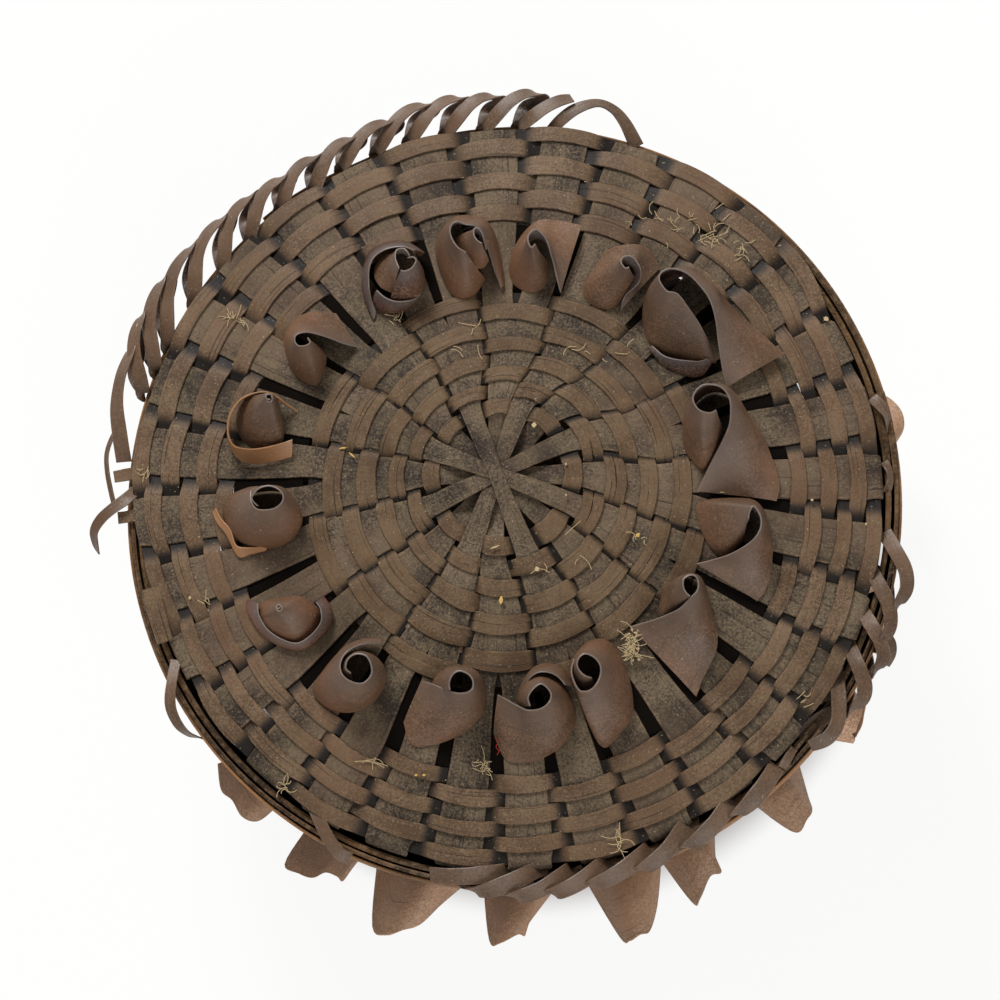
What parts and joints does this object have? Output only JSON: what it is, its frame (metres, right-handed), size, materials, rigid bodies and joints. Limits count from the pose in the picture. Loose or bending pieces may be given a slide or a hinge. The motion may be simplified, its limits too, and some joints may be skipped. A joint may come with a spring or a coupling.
{
  "type": "lidded basket",
  "caption": "round lidded basket of plaited ash splint with rolled splint curls on lid and wall, and a loop-lashed rim",
  "frame": {"origin": "on the basket's axis, in the plane that it stands on", "axes": "+Z up through the lid, the way it lifts off; +X right and +Y up in the picture"},
  "size_m": [0.2316, 0.2316, 0.1167],
  "materials": {
    "spoke_splint": "dark aged ash splint, matt and dusty",
    "weaver_splint": "brown aged ash splint, satin",
    "curl_splint": "red-brown ash splint, satin, tan at broken edges",
    "hoop_splint": "split hoop, brown with tan worn edges"
  },
  "bodies": {
    "basket": {"upright_1": "spoke_splint", "upright_2": "spoke_splint", "upright_3": "spoke_splint", "upright_4": "spoke_splint", "upright_5": "spoke_splint", "upright_6": "spoke_splint", "floor_row_1": "weaver_splint", "floor_row_2": "weaver_splint", "floor_row_3": "weaver_splint", "floor_row_4": "weaver_splint", "floor_row_5": "weaver_splint", "wall_row_1": "weaver_splint", "wall_row_2": "weaver_splint", "wall_row_3": "weaver_splint", "lower_curl_band": "curl_splint", "upper_curl_band": "curl_splint", "rim_inner_hoop": "hoop_splint", "rim_outer_hoop": "hoop_splint", "rim_lashing": "weaver_splint"},
    "lid": {"lid_spoke_1": "spoke_splint", "lid_spoke_2": "spoke_splint", "lid_spoke_3": "spoke_splint", "lid_spoke_4": "spoke_splint", "lid_spoke_5": "spoke_splint", "lid_spoke_6": "spoke_splint", "lid_spoke_7": "spoke_splint", "lid_spoke_8": "spoke_splint", "lid_centre_row_1": "weaver_splint", "lid_centre_row_2": "weaver_splint", "lid_centre_row_3": "weaver_splint", "lid_centre_row_4": "weaver_splint", "lid_centre_row_5": "weaver_splint", "lid_centre_row_6": "weaver_splint", "lid_centre_row_7": "weaver_splint", "lid_centre_row_8": "weaver_splint", "lid_outer_row_1": "weaver_splint", "lid_outer_row_2": "weaver_splint", "lid_outer_row_3": "weaver_splint", "lid_outer_row_4": "weaver_splint", "lid_outer_row_5": "weaver_splint", "lid_outer_row_6": "weaver_splint", "lid_curl_band": "curl_splint", "lid_inner_hoop": "hoop_splint", "lid_outer_hoop": "hoop_splint", "lid_lashing_back": "weaver_splint", "lid_lashing_front": "weaver_splint"}
  },
  "joints": [
    {"name": "lid_lift", "type": "slide", "parent": "basket", "child": "lid", "axis": [0, 0, 1], "range_m": [0, 0.08]}
  ]
}
